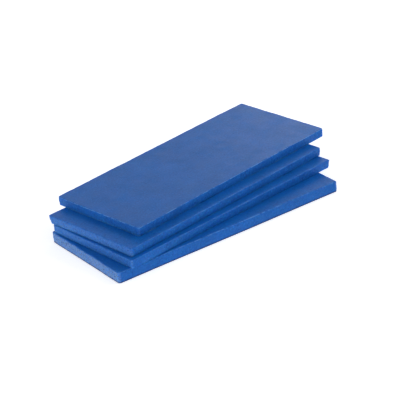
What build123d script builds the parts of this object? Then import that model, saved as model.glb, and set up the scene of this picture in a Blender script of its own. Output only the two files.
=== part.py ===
from build123d import *
import os

# Loose flat bars of detailing clay, set down one on another and left fanned out.
# Millimetres. +Z is up and +X runs along the bottom bar. The origin is the centre of the
# bottom bar's underside, where the stack rests.

# Size of a bar
bar_length = 125.0
lower_middle_length = 125.7    # the lower middle bar is cut a little longer
bar_width = 56.0
top_width = 54.7               # the top bar is cut a little narrower
bottom_thickness = 5.4         # the bottom bar is cut thicker than the others
thin_thickness = 4.1
corner_radius = 1.0            # upright corners, seen from above
rim_radius = 0.5               # soft rim round the upper and lower faces

# How each bar lies, from the bottom of the stack up:
# name, length, width, thickness, centre along X and Y from the origin, turn about +Z in degrees
layers = [
    ("bottom_bar", bar_length, bar_width, bottom_thickness, 0.0, 0.0, 0.0),
    ("lower_middle_bar", lower_middle_length, bar_width, thin_thickness, 3.5, 6.2, 6.9),
    ("upper_middle_bar", bar_length, bar_width, thin_thickness, 3.7, 10.5, 9.0),
    ("top_bar", bar_length, top_width, thin_thickness, 12.7, 18.0, 9.7),
]

os.makedirs("parts", exist_ok=True)

seat_height = 0.0    # height of the face that the next bar lies on
for name, length, width, thickness, centre_x, centre_y, turn in layers:
    seat = Plane(Location((centre_x, centre_y, seat_height), (0, 0, turn)))
    with BuildPart() as bar:
        with BuildSketch(seat):
            RectangleRounded(length, width, corner_radius)
        extrude(amount=thickness)
        flat_faces = bar.faces().filter_by(Axis.Z)
        fillet(flat_faces.edges(), radius=rim_radius)
    bar.part.label = name
    export_step(bar.part, f"parts/{name}.step")
    seat_height += thickness
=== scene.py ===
import math

import bpy
import numpy as np
from mathutils import Matrix, Vector


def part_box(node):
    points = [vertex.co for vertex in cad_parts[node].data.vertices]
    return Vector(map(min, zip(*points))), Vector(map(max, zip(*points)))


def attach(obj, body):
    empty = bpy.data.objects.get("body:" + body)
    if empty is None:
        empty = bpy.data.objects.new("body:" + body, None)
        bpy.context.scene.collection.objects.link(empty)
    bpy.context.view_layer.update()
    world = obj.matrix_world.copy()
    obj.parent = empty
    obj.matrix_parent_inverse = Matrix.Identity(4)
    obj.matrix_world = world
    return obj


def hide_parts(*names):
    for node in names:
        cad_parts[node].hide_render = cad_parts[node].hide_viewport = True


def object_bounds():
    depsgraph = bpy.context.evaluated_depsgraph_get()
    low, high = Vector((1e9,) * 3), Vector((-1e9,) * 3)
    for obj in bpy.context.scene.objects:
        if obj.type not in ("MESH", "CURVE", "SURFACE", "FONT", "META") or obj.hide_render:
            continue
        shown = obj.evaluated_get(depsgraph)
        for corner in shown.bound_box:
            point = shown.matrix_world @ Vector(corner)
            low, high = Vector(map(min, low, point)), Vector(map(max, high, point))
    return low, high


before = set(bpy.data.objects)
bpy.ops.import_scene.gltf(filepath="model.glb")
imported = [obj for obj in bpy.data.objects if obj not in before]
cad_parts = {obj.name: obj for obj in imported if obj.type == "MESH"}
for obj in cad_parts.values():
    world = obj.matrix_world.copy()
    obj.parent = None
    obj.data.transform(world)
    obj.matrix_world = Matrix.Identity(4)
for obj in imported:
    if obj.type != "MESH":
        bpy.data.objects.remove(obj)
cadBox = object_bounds()
mm = 0.001
print("frame loaded:", ", ".join(sorted(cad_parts)))


def addNode(tree, kind, inputs=None, **settings):
    # one node with its settings, each input set to a value or linked from a socket or a node's first output
    node = tree.nodes.new(kind)
    node.location = (len(tree.nodes) * 190, 0)
    for name, value in settings.items():
        setattr(node, name, value)
    for name, value in (inputs or {}).items():
        if isinstance(value, bpy.types.Node):
            value = next(socket for socket in value.outputs if socket.enabled)
        if isinstance(value, bpy.types.NodeSocket):
            tree.links.new(value, node.inputs[name])
        else:
            node.inputs[name].default_value = value
    return node


def linearColour(hexCode):
    # sRGB hex to the linear values that the shaders take
    parts = [int(hexCode[i:i + 2], 16) / 255 for i in (1, 3, 5)]
    return [p / 12.92 if p <= 0.04045 else ((p + 0.055) / 1.055) ** 2.4 for p in parts] + [1.0]


# camera: a long lens from the front left, above the stack, held a little tilted
cameraLook = {
    "azimuth": -33.3,
    "elevation": 26.8,
    "roll": -5.8,
    "distance": 865 * mm,
    "aim": Vector((2.0, -0.8, 5.3)) * mm,    # from the middle of the bottom bar
    "lens": 167.0,
}


def directionFrom(azimuth, elevation):
    # unit vector from the stack towards a camera or lamp, azimuth 0 being in front, on the -Y side
    a, e = math.radians(azimuth), math.radians(elevation)
    return Vector((math.sin(a) * math.cos(e), -math.cos(a) * math.cos(e), math.sin(e)))


def middleOf(box):
    return (box[0] + box[1]) / 2


back = directionFrom(cameraLook["azimuth"], cameraLook["elevation"])
level = Vector((0, 0, 1)).cross(back).normalized()
roll = Matrix.Rotation(math.radians(cameraLook["roll"]), 3, back)
right = roll @ level
cameraData = bpy.data.cameras.new("camera")
cameraData.lens = cameraLook["lens"]
camera = bpy.data.objects.new("camera", cameraData)
camera.matrix_world = Matrix((right, back.cross(right), back)).transposed().to_4x4()
camera.location = middleOf(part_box("bottom_bar")) + cameraLook["aim"] + back * cameraLook["distance"]
bpy.context.scene.collection.objects.link(camera)
bpy.context.scene.camera = camera
print("camera placed")


# The bar: a rounded slab of putty whose walls, rims and faces are worked out from its size.
# A cube's grid is drawn into shape and then worked unevenly: the faces only ever pressed in, the walls
# a little in or out.
barInputs = {
    "Size": ("NodeSocketVector", None),
    "Turn": ("NodeSocketFloat", None),
    "Centre": ("NodeSocketVector", None),
    "Seed": ("NodeSocketInt", None),
    "Grid": ("NodeSocketVector", (0.5 * mm, 0.5 * mm, 0.3 * mm)),    # mesh spacing
    "Rim Cells": ("NodeSocketInt", 4),        # mesh cells in half of a rim's quarter round
    "Corner Radius": ("NodeSocketFloat", 1.0 * mm),
    "Rim Radius": ("NodeSocketFloat", 0.5 * mm),
    "Lower Rim Share": ("NodeSocketFloat", 0.25),     # the lower rim's radius, as a share of the upper one's
    "Rim Unevenness": ("NodeSocketFloat", 0.35),      # share of the radius
    "Outline Wander": ("NodeSocketFloat", 0.2 * mm),  # how far the outline strays from straight
    "Draft": ("NodeSocketFloat", 0.1 * mm),           # how much smaller the lower face is cut
    "Pulled Corner": ("NodeSocketVector", (-1, 1, 0)),  # which corner is drawn out, as signs of X and Y
    "Pull": ("NodeSocketFloat", 0.0),                 # how far its upper rim is drawn out
    "Wave Depth": ("NodeSocketFloat", 0.07 * mm),
    "Side Depth": ("NodeSocketFloat", 0.12 * mm),
    "Pebble Depth": ("NodeSocketFloat", 0.14 * mm),   # the walls' torn, pebbly skin
    "Belly": ("NodeSocketFloat", 0.1 * mm),           # how far the walls round in towards the rims
    "Drag Depth": ("NodeSocketFloat", 0.06 * mm),     # lines that the cutting wire leaves
    "Dent Depth": ("NodeSocketFloat", 0.08 * mm),
    "Nick Depth": ("NodeSocketFloat", 0.25 * mm),
    "End Sheen": ("NodeSocketFloat", 0.3),                # how strong the painted sheen on the cut ends is
    "Wear And Highlight": ("NodeSocketFloat", 0.4),                # how pale the rims are: a painted highlight that also stands for wear
    "Corner Wear And Highlight": ("NodeSocketFloat", 0.9),         # how pale the upright corners are: a painted highlight that also stands for wear
    "Foot Shadow": ("NodeSocketFloat", 0.0),                # how dark the painted contact shadow at the foot of the walls is
    "Clay": ("NodeSocketMaterial", None),
}
waveLength = {
    "rim": 5 * mm,
    "outline": 38 * mm,
    "wave": 16 * mm,
    "side": 11 * mm,
    "pebble": 1.5 * mm,
    "dragLong": 22 * mm,
    "dragPitch": 1.1 * mm,
    "dents": 19 * mm,
    "nicks": 3.2 * mm,
}
pullReach = 9 * mm     # how far along the walls a drawn-out corner is felt
footHeight = 1.0 * mm  # how far up the walls the painted contact shadow reaches
undersideShare = 0.2   # the lower face, pressed flat by the bar's weight, is this much as uneven
ridgeGain = 2.6        # brings the rim mask, a product of three values below 1, up to 1 at its middle
cornerGain = 2.0       # the same for the upright corners, a product of two


def buildBarTree():
    tree = bpy.data.node_groups.new("clayBar", "GeometryNodeTree")
    for name, (kind, value) in barInputs.items():
        socket = tree.interface.new_socket(name=name, in_out="INPUT", socket_type=kind)
        if value is not None:
            socket.default_value = value
    tree.interface.new_socket(name="Geometry", in_out="OUTPUT", socket_type="NodeSocketGeometry")
    given = tree.nodes.new("NodeGroupInput").outputs

    half = addNode(tree, "ShaderNodeVectorMath", {0: given["Size"], "Scale": 0.5}, operation="SCALE")
    halfX, halfY, halfZ = addNode(tree, "ShaderNodeSeparateXYZ", {0: half}).outputs

    # mesh cells along half of each side: a few in the rim, the rest spread over the flat
    flat = addNode(tree, "ShaderNodeVectorMath", {0: half, 1: given["Rim Radius"]}, operation="SUBTRACT")
    flatCells = addNode(tree, "ShaderNodeVectorMath", {0: flat, 1: given["Grid"]}, operation="DIVIDE")
    flatCells = addNode(tree, "ShaderNodeVectorMath", {0: flatCells}, operation="FLOOR")
    cells = addNode(tree, "ShaderNodeVectorMath", {0: flatCells, 1: given["Rim Cells"]}, operation="ADD")
    counts = addNode(tree, "ShaderNodeVectorMath",
                     {0: cells, 1: (2, 2, 2), 2: (1, 1, 1)}, operation="MULTIPLY_ADD")
    countX, countY, countZ = addNode(tree, "ShaderNodeSeparateXYZ", {0: counts}).outputs
    cube = addNode(tree, "GeometryNodeMeshCube",
                   {"Size": (2, 2, 2), "Vertices X": countX, "Vertices Y": countY, "Vertices Z": countZ})

    # a different stretch of every pattern for each seed
    place = addNode(tree, "GeometryNodeInputPosition")
    seedShift = addNode(tree, "ShaderNodeVectorMath", {0: (0.83, 0.47, 0.29), "Scale": given["Seed"]},
                        operation="SCALE")
    roughPlace = addNode(tree, "ShaderNodeVectorMath", {0: place, 1: half, 2: seedShift},
                         operation="MULTIPLY_ADD")

    # rim and corner radii, which differ a little from place to place
    rimNoise = addNode(tree, "ShaderNodeTexNoise",
                       {"Vector": roughPlace, "Scale": 1 / waveLength["rim"], "Detail": 1.0})
    rimChange = addNode(tree, "ShaderNodeMapRange",
                        {"Value": rimNoise, "From Min": 0.25, "From Max": 0.75,
                         "To Min": -1.0, "To Max": 1.0})
    rimShare = addNode(tree, "ShaderNodeMath", {0: rimChange, 1: given["Rim Unevenness"], 2: 1.0},
                       operation="MULTIPLY_ADD")
    rim = addNode(tree, "ShaderNodeMath", {0: given["Rim Radius"], 1: rimShare}, operation="MULTIPLY")
    _, _, cubeZ = addNode(tree, "ShaderNodeSeparateXYZ", {0: place}).outputs
    lowerShare = addNode(tree, "ShaderNodeMapRange",
                         {"Value": cubeZ, "From Min": -0.3, "From Max": 0.3,
                          "To Min": given["Lower Rim Share"]})
    rim = addNode(tree, "ShaderNodeMath", {0: rim, 1: lowerShare}, operation="MULTIPLY")
    cornerNoise = addNode(tree, "ShaderNodeTexNoise",
                          {"Vector": roughPlace, "Scale": 1 / waveLength["outline"], "Detail": 0.0})
    cornerShare = addNode(tree, "ShaderNodeMapRange",
                          {"Value": cornerNoise, "From Min": 0.3, "From Max": 0.7,
                           "To Min": 0.75, "To Max": 1.25})
    corner = addNode(tree, "ShaderNodeMath", {0: given["Corner Radius"], 1: cornerShare},
                     operation="MULTIPLY")

    # how far in from each wall a vertex belongs: equal arcs over the rim, equal steps over the flat
    magnitude = addNode(tree, "ShaderNodeVectorMath", {0: place}, operation="ABSOLUTE")
    toWall = addNode(tree, "ShaderNodeVectorMath", {0: (1, 1, 1), 1: magnitude}, operation="SUBTRACT")
    cellsIn = addNode(tree, "ShaderNodeVectorMath", {0: toWall, 1: cells}, operation="MULTIPLY")
    rimCellsIn = addNode(tree, "ShaderNodeVectorMath", {0: cellsIn, 1: given["Rim Cells"]},
                         operation="MINIMUM")
    flatCellsIn = addNode(tree, "ShaderNodeVectorMath", {0: cellsIn, 1: rimCellsIn}, operation="SUBTRACT")
    rimTurn = addNode(tree, "ShaderNodeVectorMath", {0: rimCellsIn, 1: given["Rim Cells"]},
                      operation="DIVIDE")
    rimTurn = addNode(tree, "ShaderNodeVectorMath", {0: (1, 1, 1), 1: rimTurn}, operation="SUBTRACT")
    rimTurn = addNode(tree, "ShaderNodeVectorMath", {0: rimTurn, "Scale": math.pi / 4}, operation="SCALE")
    rimTurn = addNode(tree, "ShaderNodeVectorMath", {0: rimTurn}, operation="TANGENT")
    rimTurn = addNode(tree, "ShaderNodeVectorMath", {0: (1, 1, 1), 1: rimTurn}, operation="SUBTRACT")
    rimInset = addNode(tree, "ShaderNodeVectorMath", {0: rimTurn, "Scale": rim}, operation="SCALE")
    flatHere = addNode(tree, "ShaderNodeVectorMath", {0: half, 1: rim}, operation="SUBTRACT")
    flatStep = addNode(tree, "ShaderNodeVectorMath", {0: flatHere, 1: flatCells}, operation="DIVIDE")
    inset = addNode(tree, "ShaderNodeVectorMath", {0: flatCellsIn, 1: flatStep, 2: rimInset},
                    operation="MULTIPLY_ADD")
    insetX, insetY, insetZ = addNode(tree, "ShaderNodeSeparateXYZ", {0: inset}).outputs

    # the rim's quarter round, between the nearest wall and the face
    wallInset = addNode(tree, "ShaderNodeMath", {0: insetX, 1: insetY}, operation="MINIMUM")
    rimCorner = addNode(tree, "ShaderNodeCombineXYZ", {0: wallInset, 1: insetZ})
    rimReach = addNode(tree, "ShaderNodeVectorMath", {0: rim, 1: rimCorner}, operation="SUBTRACT")
    rimReach = addNode(tree, "ShaderNodeVectorMath", {0: rimReach, 1: (0, 0, 0)}, operation="MAXIMUM")
    rimReach = addNode(tree, "ShaderNodeVectorMath", {0: rimReach, 1: (1, 1, 0)}, operation="MULTIPLY")
    rimNormal = addNode(tree, "ShaderNodeVectorMath", {0: rimReach}, operation="NORMALIZE")
    rimBound = addNode(tree, "ShaderNodeVectorMath", {0: rimCorner, 1: rim}, operation="MAXIMUM")
    rimFull = addNode(tree, "ShaderNodeVectorMath", {0: rimNormal, "Scale": rim}, operation="SCALE")
    roundInset = addNode(tree, "ShaderNodeVectorMath", {0: rimBound, 1: rimFull}, operation="SUBTRACT")
    wallRound, faceRound, _ = addNode(tree, "ShaderNodeSeparateXYZ", {0: roundInset}).outputs
    outward, upward, _ = addNode(tree, "ShaderNodeSeparateXYZ", {0: rimNormal}).outputs

    # the upright corners, rounded in plan
    cornerReach = addNode(tree, "ShaderNodeVectorMath", {0: corner, 1: inset}, operation="SUBTRACT")
    cornerReach = addNode(tree, "ShaderNodeVectorMath", {0: cornerReach, 1: (0, 0, 0)}, operation="MAXIMUM")
    cornerReach = addNode(tree, "ShaderNodeVectorMath", {0: cornerReach, 1: (1, 1, 0)}, operation="MULTIPLY")
    cornerWay = addNode(tree, "ShaderNodeVectorMath", {0: cornerReach}, operation="NORMALIZE")
    cornerLength = addNode(tree, "ShaderNodeMath", {0: corner, 1: wallRound}, operation="SUBTRACT")
    cornerInset = addNode(tree, "ShaderNodeVectorMath", {0: inset, 1: corner}, operation="MAXIMUM")
    cornerHub = addNode(tree, "ShaderNodeVectorMath", {0: half, 1: cornerInset}, operation="SUBTRACT")
    plan = addNode(tree, "ShaderNodeVectorMath", {0: cornerWay, "Scale": cornerLength}, operation="SCALE")
    plan = addNode(tree, "ShaderNodeVectorMath", {0: plan, 1: cornerHub}, operation="ADD")
    planX, planY, _ = addNode(tree, "ShaderNodeSeparateXYZ", {0: plan}).outputs
    height = addNode(tree, "ShaderNodeMath", {0: halfZ, 1: faceRound}, operation="SUBTRACT")
    shaped = addNode(tree, "ShaderNodeCombineXYZ", {0: planX, 1: planY, 2: height})
    side = addNode(tree, "ShaderNodeVectorMath", {0: place}, operation="SIGN")
    shaped = addNode(tree, "ShaderNodeVectorMath", {0: shaped, 1: side}, operation="MULTIPLY")

    # walls that lean in a little towards the lower face
    _, _, shapedZ = addNode(tree, "ShaderNodeSeparateXYZ", {0: shaped}).outputs
    low = addNode(tree, "ShaderNodeMapRange",
                  {"Value": shapedZ, "From Min": halfZ, "To Max": given["Draft"]})
    negativeHalf = addNode(tree, "ShaderNodeMath", {0: halfZ, 1: -1.0}, operation="MULTIPLY")
    tree.links.new(negativeHalf.outputs[0], low.inputs["From Max"])
    lean = addNode(tree, "ShaderNodeCombineXYZ", {0: low, 1: low})
    lean = addNode(tree, "ShaderNodeVectorMath", {0: lean, 1: half}, operation="DIVIDE")
    leanIn = addNode(tree, "ShaderNodeVectorMath", {0: shaped, 1: lean}, operation="MULTIPLY")
    leaned = addNode(tree, "ShaderNodeVectorMath", {0: shaped, 1: leanIn}, operation="SUBTRACT")

    # one corner drawn out at its upper rim
    tip = addNode(tree, "ShaderNodeVectorMath", {0: given["Pulled Corner"], 1: half}, operation="MULTIPLY")
    tipWay = addNode(tree, "ShaderNodeVectorMath", {0: given["Pulled Corner"]}, operation="NORMALIZE")
    fromTip = addNode(tree, "ShaderNodeVectorMath", {0: leaned, 1: tip}, operation="SUBTRACT")
    fromTip = addNode(tree, "ShaderNodeVectorMath", {0: fromTip, 1: (1, 1, 0)}, operation="MULTIPLY")
    tipDistance = addNode(tree, "ShaderNodeVectorMath", {0: fromTip}, operation="LENGTH").outputs["Value"]
    nearTip = addNode(tree, "ShaderNodeMapRange",
                      {"Value": tipDistance, "From Min": pullReach, "From Max": 0.0},
                      interpolation_type="SMOOTHSTEP")
    upRim = addNode(tree, "ShaderNodeMapRange",
                    {"Value": shapedZ, "From Min": negativeHalf, "From Max": halfZ})
    pull = addNode(tree, "ShaderNodeMath", {0: nearTip, 1: upRim}, operation="MULTIPLY")
    pull = addNode(tree, "ShaderNodeMath", {0: pull, 1: given["Pull"]}, operation="MULTIPLY")
    pull = addNode(tree, "ShaderNodeVectorMath", {0: tipWay, "Scale": pull}, operation="SCALE")
    leaned = addNode(tree, "ShaderNodeVectorMath", {0: leaned, 1: pull}, operation="ADD")

    # an outline that strays from straight, the same all the way up a wall
    planOnly = addNode(tree, "ShaderNodeVectorMath", {0: leaned, 1: (1, 1, 0), 2: seedShift},
                       operation="MULTIPLY_ADD")
    drift = addNode(tree, "ShaderNodeTexNoise",
                    {"Vector": planOnly, "Scale": 1 / waveLength["outline"], "Detail": 1.0})
    drift = addNode(tree, "ShaderNodeVectorMath", {0: drift.outputs["Color"], 1: (0.5, 0.5, 0.5)},
                    operation="SUBTRACT")
    drift = addNode(tree, "ShaderNodeVectorMath", {0: drift, "Scale": given["Outline Wander"]},
                    operation="SCALE")
    drift = addNode(tree, "ShaderNodeVectorMath", {0: drift, 1: (3, 3, 0), 2: leaned},
                    operation="MULTIPLY_ADD")

    # what the material asks of a point: 1 on the pressed faces and 0 on the walls, how strong the painted
    # highlight (which also stands for wear) is on a rim or upright corner, how strong the painted sheen is
    # on a cut end, and how strong the painted contact shadow is at the foot of a wall
    # rims and upright corners, lightened by a painted highlight that also stands for wear
    ridge = addNode(tree, "ShaderNodeMath", {0: outward, 1: upward}, operation="MULTIPLY")
    ridge = addNode(tree, "ShaderNodeMath", {0: ridge, 1: upward}, operation="MULTIPLY")
    ridge = addNode(tree, "ShaderNodeMath", {0: ridge, 1: ridgeGain}, operation="MULTIPLY")
    ridge = addNode(tree, "ShaderNodeMath", {0: ridge, 1: given["Wear And Highlight"]}, operation="MULTIPLY")
    wayX, wayY, _ = addNode(tree, "ShaderNodeSeparateXYZ", {0: cornerWay}).outputs
    upright = addNode(tree, "ShaderNodeMath", {0: wayX, 1: wayY}, operation="MULTIPLY")
    upright = addNode(tree, "ShaderNodeMath", {0: upright, 1: cornerGain}, operation="MULTIPLY")
    upright = addNode(tree, "ShaderNodeMath", {0: upright, 1: given["Corner Wear And Highlight"]}, operation="MULTIPLY")
    ridge = addNode(tree, "ShaderNodeMath", {0: ridge, 1: upright}, operation="MAXIMUM")
    # the cut ends, lightened by a painted sheen
    onEnd = addNode(tree, "ShaderNodeMapRange",
                    {"Value": insetX, "From Min": given["Corner Radius"], "From Max": 0.0})
    endSheen = addNode(tree, "ShaderNodeMath", {0: onEnd, 1: given["End Sheen"]}, operation="MULTIPLY")
    # the foot of the walls, darkened by a painted contact shadow
    footTop = addNode(tree, "ShaderNodeMath", {0: negativeHalf, 1: footHeight}, operation="ADD")
    foot = addNode(tree, "ShaderNodeMapRange",
                   {"Value": shapedZ, "From Min": footTop, "From Max": negativeHalf})
    footShadow = addNode(tree, "ShaderNodeMath", {0: foot, 1: given["Foot Shadow"]}, operation="MULTIPLY")
    bar = cube
    for name, field in (("pressed", upward), ("rim", ridge), ("endSheen", endSheen), ("footShadow", footShadow)):
        bar = addNode(tree, "GeometryNodeStoreNamedAttribute",
                      {"Geometry": bar, "Name": name, "Value": field}, data_type="FLOAT", domain="POINT")
    bar = addNode(tree, "GeometryNodeSetPosition", {"Geometry": bar, "Position": drift})

    # from here on the bar has its shape, and every change follows the normal
    pressed = addNode(tree, "GeometryNodeInputNamedAttribute", {"Name": "pressed"}, data_type="FLOAT")
    rimHere = addNode(tree, "GeometryNodeInputNamedAttribute", {"Name": "rim"}, data_type="FLOAT")
    wall = addNode(tree, "ShaderNodeMath", {0: 1.0, 1: pressed}, operation="SUBTRACT")
    seeded = addNode(tree, "ShaderNodeVectorMath", {0: place, 1: seedShift}, operation="ADD")

    waves = addNode(tree, "ShaderNodeTexNoise",
                    {"Vector": seeded, "Scale": 1 / waveLength["wave"], "Detail": 2.0, "Roughness": 0.45})
    waves = addNode(tree, "ShaderNodeMapRange", {"Value": waves, "From Min": 0.3, "From Max": 0.7})
    waves = addNode(tree, "ShaderNodeMath", {0: waves, 1: given["Wave Depth"]}, operation="MULTIPLY")

    dentCells = addNode(tree, "ShaderNodeTexVoronoi", {"Vector": seeded, "Scale": 1 / waveLength["dents"]},
                        feature="SMOOTH_F1")
    dents = addNode(tree, "ShaderNodeMapRange",
                    {"Value": dentCells, "From Min": 0.26, "From Max": 0.08},
                    interpolation_type="SMOOTHERSTEP")
    dents = addNode(tree, "ShaderNodeMath", {0: dents, 1: given["Dent Depth"]}, operation="MULTIPLY")
    faceDepth = addNode(tree, "ShaderNodeMath", {0: waves, 1: dents}, operation="ADD")
    faceDepth = addNode(tree, "ShaderNodeMath", {0: faceDepth, 1: pressed}, operation="MULTIPLY")
    _, _, placeZ = addNode(tree, "ShaderNodeSeparateXYZ", {0: place}).outputs
    rise = addNode(tree, "ShaderNodeMath", {0: placeZ, 1: halfZ}, operation="DIVIDE")
    faceShare = addNode(tree, "ShaderNodeMapRange",
                        {"Value": rise, "From Min": -0.5, "From Max": 0.5, "To Min": undersideShare})
    faceDepth = addNode(tree, "ShaderNodeMath", {0: faceDepth, 1: faceShare}, operation="MULTIPLY")

    drawn = addNode(tree, "ShaderNodeVectorMath", {0: seeded, 1: (1, 1, 0.2)}, operation="MULTIPLY")
    sides = addNode(tree, "ShaderNodeTexNoise",
                    {"Vector": drawn, "Scale": 1 / waveLength["side"], "Detail": 2.0})
    sides = addNode(tree, "ShaderNodeMapRange",
                    {"Value": sides, "From Min": 0.3, "From Max": 0.7, "To Min": -0.5, "To Max": 0.5})
    sides = addNode(tree, "ShaderNodeMath", {0: sides, 1: given["Side Depth"]}, operation="MULTIPLY")
    dragged = addNode(tree, "ShaderNodeVectorMath",
                      {0: seeded, 1: [1 / waveLength[k] for k in ("dragLong", "dragLong", "dragPitch")]},
                      operation="MULTIPLY")
    drag = addNode(tree, "ShaderNodeTexNoise", {"Vector": dragged, "Scale": 1.0, "Detail": 2.0})
    drag = addNode(tree, "ShaderNodeMapRange",
                   {"Value": drag, "From Min": 0.35, "From Max": 0.65, "To Min": -0.5, "To Max": 0.5})
    drag = addNode(tree, "ShaderNodeMath", {0: drag, 1: given["Drag Depth"], 2: sides},
                   operation="MULTIPLY_ADD")
    rise = addNode(tree, "ShaderNodeMath", {0: rise, 1: rise}, operation="MULTIPLY")
    pebble = addNode(tree, "ShaderNodeTexNoise",
                     {"Vector": seeded, "Scale": 1 / waveLength["pebble"], "Detail": 2.0, "Roughness": 0.6})
    pebble = addNode(tree, "ShaderNodeMapRange",
                     {"Value": pebble, "From Min": 0.35, "From Max": 0.65, "To Min": -0.5, "To Max": 0.5})
    drag = addNode(tree, "ShaderNodeMath", {0: pebble, 1: given["Pebble Depth"], 2: drag},
                   operation="MULTIPLY_ADD")
    wallDepth = addNode(tree, "ShaderNodeMath", {0: rise, 1: given["Belly"], 2: drag},
                        operation="MULTIPLY_ADD")
    wallDepth = addNode(tree, "ShaderNodeMath", {0: wallDepth, 1: wall}, operation="MULTIPLY")

    nicks = addNode(tree, "ShaderNodeTexNoise",
                    {"Vector": seeded, "Scale": 1 / waveLength["nicks"], "Detail": 1.0})
    nicks = addNode(tree, "ShaderNodeMapRange",
                    {"Value": nicks, "From Min": 0.56, "From Max": 0.8}, interpolation_type="SMOOTHSTEP")
    nicks = addNode(tree, "ShaderNodeMath", {0: nicks, 1: given["Nick Depth"]}, operation="MULTIPLY")
    nicks = addNode(tree, "ShaderNodeMath", {0: nicks, 1: rimHere}, operation="MULTIPLY")

    depth = addNode(tree, "ShaderNodeMath", {0: faceDepth, 1: wallDepth}, operation="ADD")
    depth = addNode(tree, "ShaderNodeMath", {0: depth, 1: nicks}, operation="ADD")
    depth = addNode(tree, "ShaderNodeMath", {0: depth, 1: -1.0}, operation="MULTIPLY")
    normal = addNode(tree, "GeometryNodeInputNormal")
    push = addNode(tree, "ShaderNodeVectorMath", {0: normal, "Scale": depth}, operation="SCALE")
    bar = addNode(tree, "GeometryNodeSetPosition", {"Geometry": bar, "Offset": push})

    # the bar's own coordinates for the material, then its place in the stack
    bar = addNode(tree, "GeometryNodeStoreNamedAttribute",
                  {"Geometry": bar, "Name": "barPlace", "Value": seeded},
                  data_type="FLOAT_VECTOR", domain="POINT")
    turn = addNode(tree, "ShaderNodeCombineXYZ", {2: given["Turn"]})
    bar = addNode(tree, "GeometryNodeTransform",
                  {"Geometry": bar, "Translation": given["Centre"], "Rotation": turn})
    bar = addNode(tree, "GeometryNodeSetShadeSmooth", {"Geometry": bar})
    bar = addNode(tree, "GeometryNodeRealizeInstances", {"Geometry": bar})
    bar = addNode(tree, "GeometryNodeSetMaterial", {"Geometry": bar, "Material": given["Clay"]})
    addNode(tree, "NodeGroupOutput", {"Geometry": bar})
    return tree


# Detailing clay: a synthetic-rubber putty filled with fine mineral grit and blue pigment, rolled out
# between films as a long strip and cut to length with a wire. The film leaves the faces smooth, with a
# soft waxy sheen, and a little light sinks in and fills the grooves with blue. The walls are duller and
# pebbly, and the grit shows more on the cut ends, which carry a painted sheen. The rims and upright corners
# carry a painted highlight that also stands for handling wear, and the foot of the walls a painted contact
# shadow.
clayLook = {
    "clayColour": "#0C69C2",
    "cloudColour": "#0B5AA8",       # where the pigment is kneaded in less well
    # painted sheen on the cut ends
    "endSheenColour": "#688DC1",
    # painted highlight on the rims and upright corners, which also stands for wear
    "wearAndHighlightColour": "#5C97DA",
    "darkGrain": "#063A86",
    "paleGrain": "#1C80E4",
    # painted contact shadow at the foot of the walls
    "footShadowColour": "#141C46",
    "cloudSize": 13 * mm,
    "cloudShare": 0.55,
    "grit": 0.85 * mm,              # the real grit is under 0.05 mm, too fine to show
    "faceGrit": 0.45,               # how strongly it shows on the smooth faces
    "wallGrit": 0.55,
    "tornGrit": 1.1,                # and how much more on the cut ends, under their painted sheen
    "endSheenPatch": 2.2 * mm,
    "wearAndHighlightPatch": 4 * mm,
    "glossPatch": 7 * mm,
    "grain": 0.7 * mm,
    "grainHeight": 0.02 * mm,
    "peel": 2.6 * mm,               # the film's own ripple
    "peelHeight": 0.012 * mm,
    "pebble": 0.9 * mm,
    "pebbleHeight": 0.12 * mm,
    "faceRoughness": 0.40,
    "wallRoughness": 0.62,
    "glossChange": 0.08,
    "ior": 1.34,                    # 1.5 for the rubber itself, dulled by the fine grit at its skin
    "subsurface": 0.6,
    "subsurfaceDepth": 3.0 * mm,
}


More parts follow.
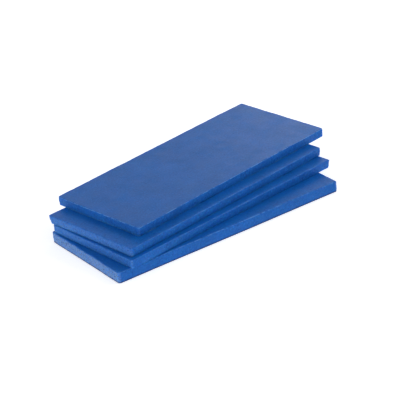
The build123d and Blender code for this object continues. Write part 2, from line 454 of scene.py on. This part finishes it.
def makeClay():
    look = clayLook
    material = bpy.data.materials.new("detailingClayPutty")
    material.use_nodes = True
    tree = material.node_tree
    tree.nodes.clear()
    place = addNode(tree, "ShaderNodeAttribute", attribute_name="barPlace").outputs["Vector"]
    pressed = addNode(tree, "ShaderNodeAttribute", attribute_name="pressed").outputs["Fac"]
    rim = addNode(tree, "ShaderNodeAttribute", attribute_name="rim").outputs["Fac"]
    endSheen = addNode(tree, "ShaderNodeAttribute", attribute_name="endSheen").outputs["Fac"]
    footShadow = addNode(tree, "ShaderNodeAttribute", attribute_name="footShadow").outputs["Fac"]
    face = addNode(tree, "ShaderNodeMapRange", {"Value": pressed, "From Min": 0.35, "From Max": 0.85})
    wall = addNode(tree, "ShaderNodeMath", {0: 1.0, 1: face}, operation="SUBTRACT")

    # pigment in soft clouds
    clouds = addNode(tree, "ShaderNodeTexNoise",
                     {"Vector": place, "Scale": 1 / look["cloudSize"], "Detail": 5.0, "Roughness": 0.6})
    clouds = addNode(tree, "ShaderNodeMapRange",
                     {"Value": clouds, "From Min": 0.35, "From Max": 0.68, "To Max": look["cloudShare"]})
    colour = addNode(tree, "ShaderNodeMix",
                     {0: clouds, 6: linearColour(look["clayColour"]), 7: linearColour(look["cloudColour"])},
                     data_type="RGBA")

    # painted sheen on the cut ends, patchy
    patches = addNode(tree, "ShaderNodeTexNoise",
                      {"Vector": place, "Scale": 1 / look["endSheenPatch"], "Detail": 4.0, "Roughness": 0.7})
    patches = addNode(tree, "ShaderNodeMapRange",
                      {"Value": patches, "From Min": 0.3, "From Max": 0.6, "To Min": 0.45})
    sheenedEnd = addNode(tree, "ShaderNodeMath", {0: endSheen, 1: patches}, operation="MULTIPLY")
    sheenedEnd = addNode(tree, "ShaderNodeMath", {0: sheenedEnd, 1: wall}, operation="MULTIPLY")
    colour = addNode(tree, "ShaderNodeMix",
                     {0: sheenedEnd, 6: colour, 7: linearColour(look["endSheenColour"])}, data_type="RGBA")

    # painted highlight on the rims and upright corners, which also stands for handling wear, in broken
    # stretches
    wearAndHighlight = addNode(tree, "ShaderNodeTexNoise",
                     {"Vector": place, "Scale": 1 / look["wearAndHighlightPatch"], "Detail": 5.0, "Roughness": 0.65})
    wearAndHighlight = addNode(tree, "ShaderNodeMapRange",
                     {"Value": wearAndHighlight, "From Min": 0.42, "From Max": 0.6, "To Min": 0.05, "To Max": 1.2})
    wearAndHighlight = addNode(tree, "ShaderNodeMath", {0: wearAndHighlight, 1: rim}, operation="MULTIPLY")
    colour = addNode(tree, "ShaderNodeMix",
                     {0: wearAndHighlight, 6: colour, 7: linearColour(look["wearAndHighlightColour"])}, data_type="RGBA")

    # coarse grit at the skin, in dark and pale grains
    grit = addNode(tree, "ShaderNodeTexNoise",
                   {"Vector": place, "Scale": 1 / look["grit"], "Detail": 2.5, "Roughness": 0.7})
    strength = addNode(tree, "ShaderNodeMapRange",
                       {"Value": face, "To Min": look["wallGrit"], "To Max": look["faceGrit"]})
    strength = addNode(tree, "ShaderNodeMath", {0: sheenedEnd, 1: look["tornGrit"], 2: strength},
                       operation="MULTIPLY_ADD")
    for tone, start, end in (("darkGrain", 0.45, 0.3), ("paleGrain", 0.55, 0.7)):
        some = addNode(tree, "ShaderNodeMapRange", {"Value": grit, "From Min": start, "From Max": end})
        some = addNode(tree, "ShaderNodeMath", {0: some, 1: strength}, operation="MULTIPLY")
        colour = addNode(tree, "ShaderNodeMix",
                         {0: some, 6: colour, 7: linearColour(look[tone])}, data_type="RGBA")

    # painted contact shadow along the foot of the walls
    colour = addNode(tree, "ShaderNodeMix",
                     {0: footShadow, 6: colour, 7: linearColour(look["footShadowColour"])}, data_type="RGBA")

    # gloss: the film's sheen on the faces, duller on the walls, uneven where it has been handled
    gloss = addNode(tree, "ShaderNodeMapRange",
                    {"Value": face, "To Min": look["wallRoughness"], "To Max": look["faceRoughness"]})
    handled = addNode(tree, "ShaderNodeTexNoise",
                      {"Vector": place, "Scale": 1 / look["glossPatch"], "Detail": 5.0, "Roughness": 0.65})
    handled = addNode(tree, "ShaderNodeMapRange",
                      {"Value": handled, "From Min": 0.3, "From Max": 0.7,
                       "To Min": -look["glossChange"], "To Max": look["glossChange"]})
    gloss = addNode(tree, "ShaderNodeMath", {0: gloss, 1: handled}, operation="ADD")

    # relief: putty grain all over, the film's ripple on the faces, pebbles on the walls
    grain = addNode(tree, "ShaderNodeTexNoise", {"Vector": place, "Scale": 1 / look["grain"], "Detail": 2.0})
    peel = addNode(tree, "ShaderNodeTexNoise", {"Vector": place, "Scale": 1 / look["peel"], "Detail": 1.0})
    peel = addNode(tree, "ShaderNodeMath", {0: peel, 1: face}, operation="MULTIPLY")
    pebble = addNode(tree, "ShaderNodeTexNoise",
                     {"Vector": place, "Scale": 1 / look["pebble"], "Detail": 3.0, "Roughness": 0.65})
    pebble = addNode(tree, "ShaderNodeMath", {0: pebble, 1: wall}, operation="MULTIPLY")
    relief = None
    for height, field in (("grainHeight", grain), ("peelHeight", peel), ("pebbleHeight", pebble)):
        inputs = {"Height": field, "Distance": look[height]}
        if relief:
            inputs["Normal"] = relief
        relief = addNode(tree, "ShaderNodeBump", inputs)

    shader = addNode(tree, "ShaderNodeBsdfPrincipled", {
        "Base Color": colour,
        "Roughness": gloss,
        "Normal": relief,
        "IOR": look["ior"],
        "Subsurface Weight": look["subsurface"],
        "Subsurface Radius": (0.2, 0.5, 1.0),
        "Subsurface Scale": look["subsurfaceDepth"],
    })
    addNode(tree, "ShaderNodeOutputMaterial", {"Surface": shader})
    return material


clay = makeClay()
print("clay mixed")


def placeOf(node):
    # a bar's own size, turn and centre, from its CAD solid: the widest upright triangle lies on a long wall
    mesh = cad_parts[node].data
    wall = max((f for f in mesh.polygons if abs(f.normal.z) < 0.01), key=lambda f: f.area)
    turn = math.atan2(wall.normal.x, -wall.normal.y)
    turn = (turn + math.pi / 2) % math.pi - math.pi / 2
    unturn = np.array(Matrix.Rotation(-turn, 3, "Z"))
    points = np.array([v.co[:] for v in mesh.vertices]) @ unturn.T
    low, high = points.min(0), points.max(0)
    return high - low, turn, unturn.T @ (low + high) / 2


# what sets one bar apart from the next
# besides seed and shape, each bar sets how strong its painted rim highlight, painted end sheen and painted
# foot shadow are
bars = {
    "bottom_bar": {"Seed": 3, "Corner Radius": 1.6 * mm, "Rim Radius": 0.6 * mm, "End Sheen": 0.95,
                   "Wear And Highlight": 0.6, "Corner Wear And Highlight": 0.8, "Foot Shadow": 1.0},
    "lower_middle_bar": {"Seed": 8, "End Sheen": 0.2, "Wear And Highlight": 0.3,
                         "Pulled Corner": (1.0, -1.0, 0.0), "Pull": 0.5 * mm},
    "upper_middle_bar": {"Seed": 13, "End Sheen": 0.28, "Draft": 0.2 * mm, "Pull": 0.6 * mm},
    "top_bar": {"Seed": 21, "Rim Radius": 0.3 * mm, "End Sheen": 0.05, "Wear And Highlight": 1.8, "Corner Wear And Highlight": 0.2},
}
barTree = buildBarTree()
socketOf = {item.name: item.identifier for item in barTree.interface.items_tree if item.in_out == "INPUT"}


def makeBar(node, changes):
    size, turn, centre = placeOf(node)
    maker = bpy.data.objects.new(node + "_maker", bpy.data.meshes.new(node + "_maker"))
    bpy.context.scene.collection.objects.link(maker)
    modifier = maker.modifiers.new("clayBar", "NODES")
    modifier.node_group = barTree
    values = {"Size": size, "Turn": turn, "Centre": centre, "Clay": clay, **changes}
    for name, value in values.items():
        modifier[socketOf[name]] = value
    graph = bpy.context.evaluated_depsgraph_get()
    mesh = bpy.data.meshes.new_from_object(maker.evaluated_get(graph), preserve_all_data_layers=True,
                                           depsgraph=graph)
    bpy.data.objects.remove(maker)
    mesh.name = node + "_clay"
    piece = bpy.data.objects.new(node + "_clay", mesh)
    bpy.context.scene.collection.objects.link(piece)
    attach(piece, node)
    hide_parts(node)
    print(f"{piece.name}: {len(mesh.polygons)} faces, turned {math.degrees(turn):.1f} degrees")


for node, changes in bars.items():
    makeBar(node, changes)


# floor, room light and lamps
stageLook = {
    "floorColour": "#F4F4F4",
    "floorGlow": 0.62,
    "floorSize": 3.0,
    "roomColour": "#FFFFFF",
    "roomStrength": 0.45,
}
lamps = {
    "left": {"azimuth": -85, "elevation": 14, "distance": 0.9, "size": 0.6, "power": 1.6},
    "backRight": {"azimuth": 128, "elevation": 18, "distance": 0.6, "size": 0.35, "power": 0.35},
    "backLeft": {"azimuth": 168, "elevation": 17, "distance": 0.9, "size": 0.8, "power": 0.5},
    "frontRight": {"azimuth": 63, "elevation": 41, "distance": 0.9, "size": 0.3, "power": 1.5},
}


def buildStage():
    half = stageLook["floorSize"] / 2
    mesh = bpy.data.meshes.new("floor")
    corners = [(-half, -half, 0), (half, -half, 0), (half, half, 0), (-half, half, 0)]
    mesh.from_pydata(corners, [], [(0, 1, 2, 3)])
    floor = bpy.data.objects.new("floor", mesh)
    floor.location.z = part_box("bottom_bar")[0].z
    bpy.context.scene.collection.objects.link(floor)
    paper = bpy.data.materials.new("whitePaper")
    paper.use_nodes = True
    paper.node_tree.nodes.clear()
    shader = addNode(paper.node_tree, "ShaderNodeBsdfPrincipled", {
        "Base Color": linearColour(stageLook["floorColour"]),
        "Roughness": 0.9,
        "Specular IOR Level": 0.1,
        "Emission Color": linearColour(stageLook["floorColour"]),
        "Emission Strength": stageLook["floorGlow"],
    })
    addNode(paper.node_tree, "ShaderNodeOutputMaterial", {"Surface": shader})
    mesh.materials.append(paper)

    world = bpy.data.worlds.new("room")
    world.use_nodes = True
    world.node_tree.nodes.clear()
    room = addNode(world.node_tree, "ShaderNodeBackground",
                   {"Color": linearColour(stageLook["roomColour"]), "Strength": stageLook["roomStrength"]})
    addNode(world.node_tree, "ShaderNodeOutputWorld", {"Surface": room})
    bpy.context.scene.world = world

    aim = middleOf(cadBox)
    for name, look in lamps.items():
        data = bpy.data.lights.new(name, "AREA")
        data.energy = look["power"]
        data.shape = "DISK"
        data.size = look["size"]
        lamp = bpy.data.objects.new(name, data)
        away = directionFrom(look["azimuth"], look["elevation"])
        lamp.location = aim + away * look["distance"]
        lamp.rotation_euler = away.to_track_quat("Z", "Y").to_euler()
        bpy.context.scene.collection.objects.link(lamp)
    bpy.context.scene.view_settings.view_transform = "Standard"


buildStage()
print("stage lit")
